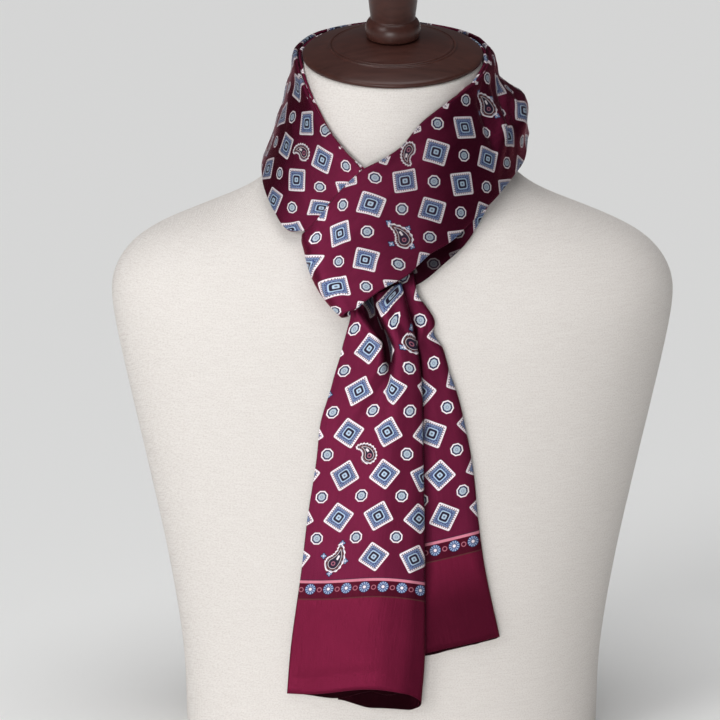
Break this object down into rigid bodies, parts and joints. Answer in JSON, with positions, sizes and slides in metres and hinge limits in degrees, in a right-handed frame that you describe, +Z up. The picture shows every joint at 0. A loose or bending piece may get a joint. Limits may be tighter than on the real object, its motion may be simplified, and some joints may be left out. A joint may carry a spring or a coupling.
{
  "type": "skinny silk scarf on a limbless dress form",
  "caption": "Skinny silk scarf folded lengthwise, doubled round the neck in a loop knot with both tails hanging, on a limbless linen dress form with a turned wooden neck cap and knob.",
  "frame": {"origin": "middle of the dress form's flat underside, on the surface it stands on", "axes": "+Z up, the front faces -Y, +X to the right as the front is looked at"},
  "size_m": [0.4008, 0.2368, 0.5689],
  "materials": {
    "silk": "satin printed silk twill, burgundy with blue and cream foulard",
    "linen": "natural off-white linen, matt plain weave",
    "wood": "dark brown stained, satin varnish"
  },
  "bodies": {
    "root": {"strand_left_outer": "silk", "strand_back_outer": "silk", "loop_over": "silk", "loop_under": "silk", "strand_back_inner": "silk", "strand_left_inner": "silk", "tail_front": "silk", "tail_back": "silk", "dress_form": "linen", "neck_cap": "wood", "neck_knob": "wood"}
  },
  "joints": []
}
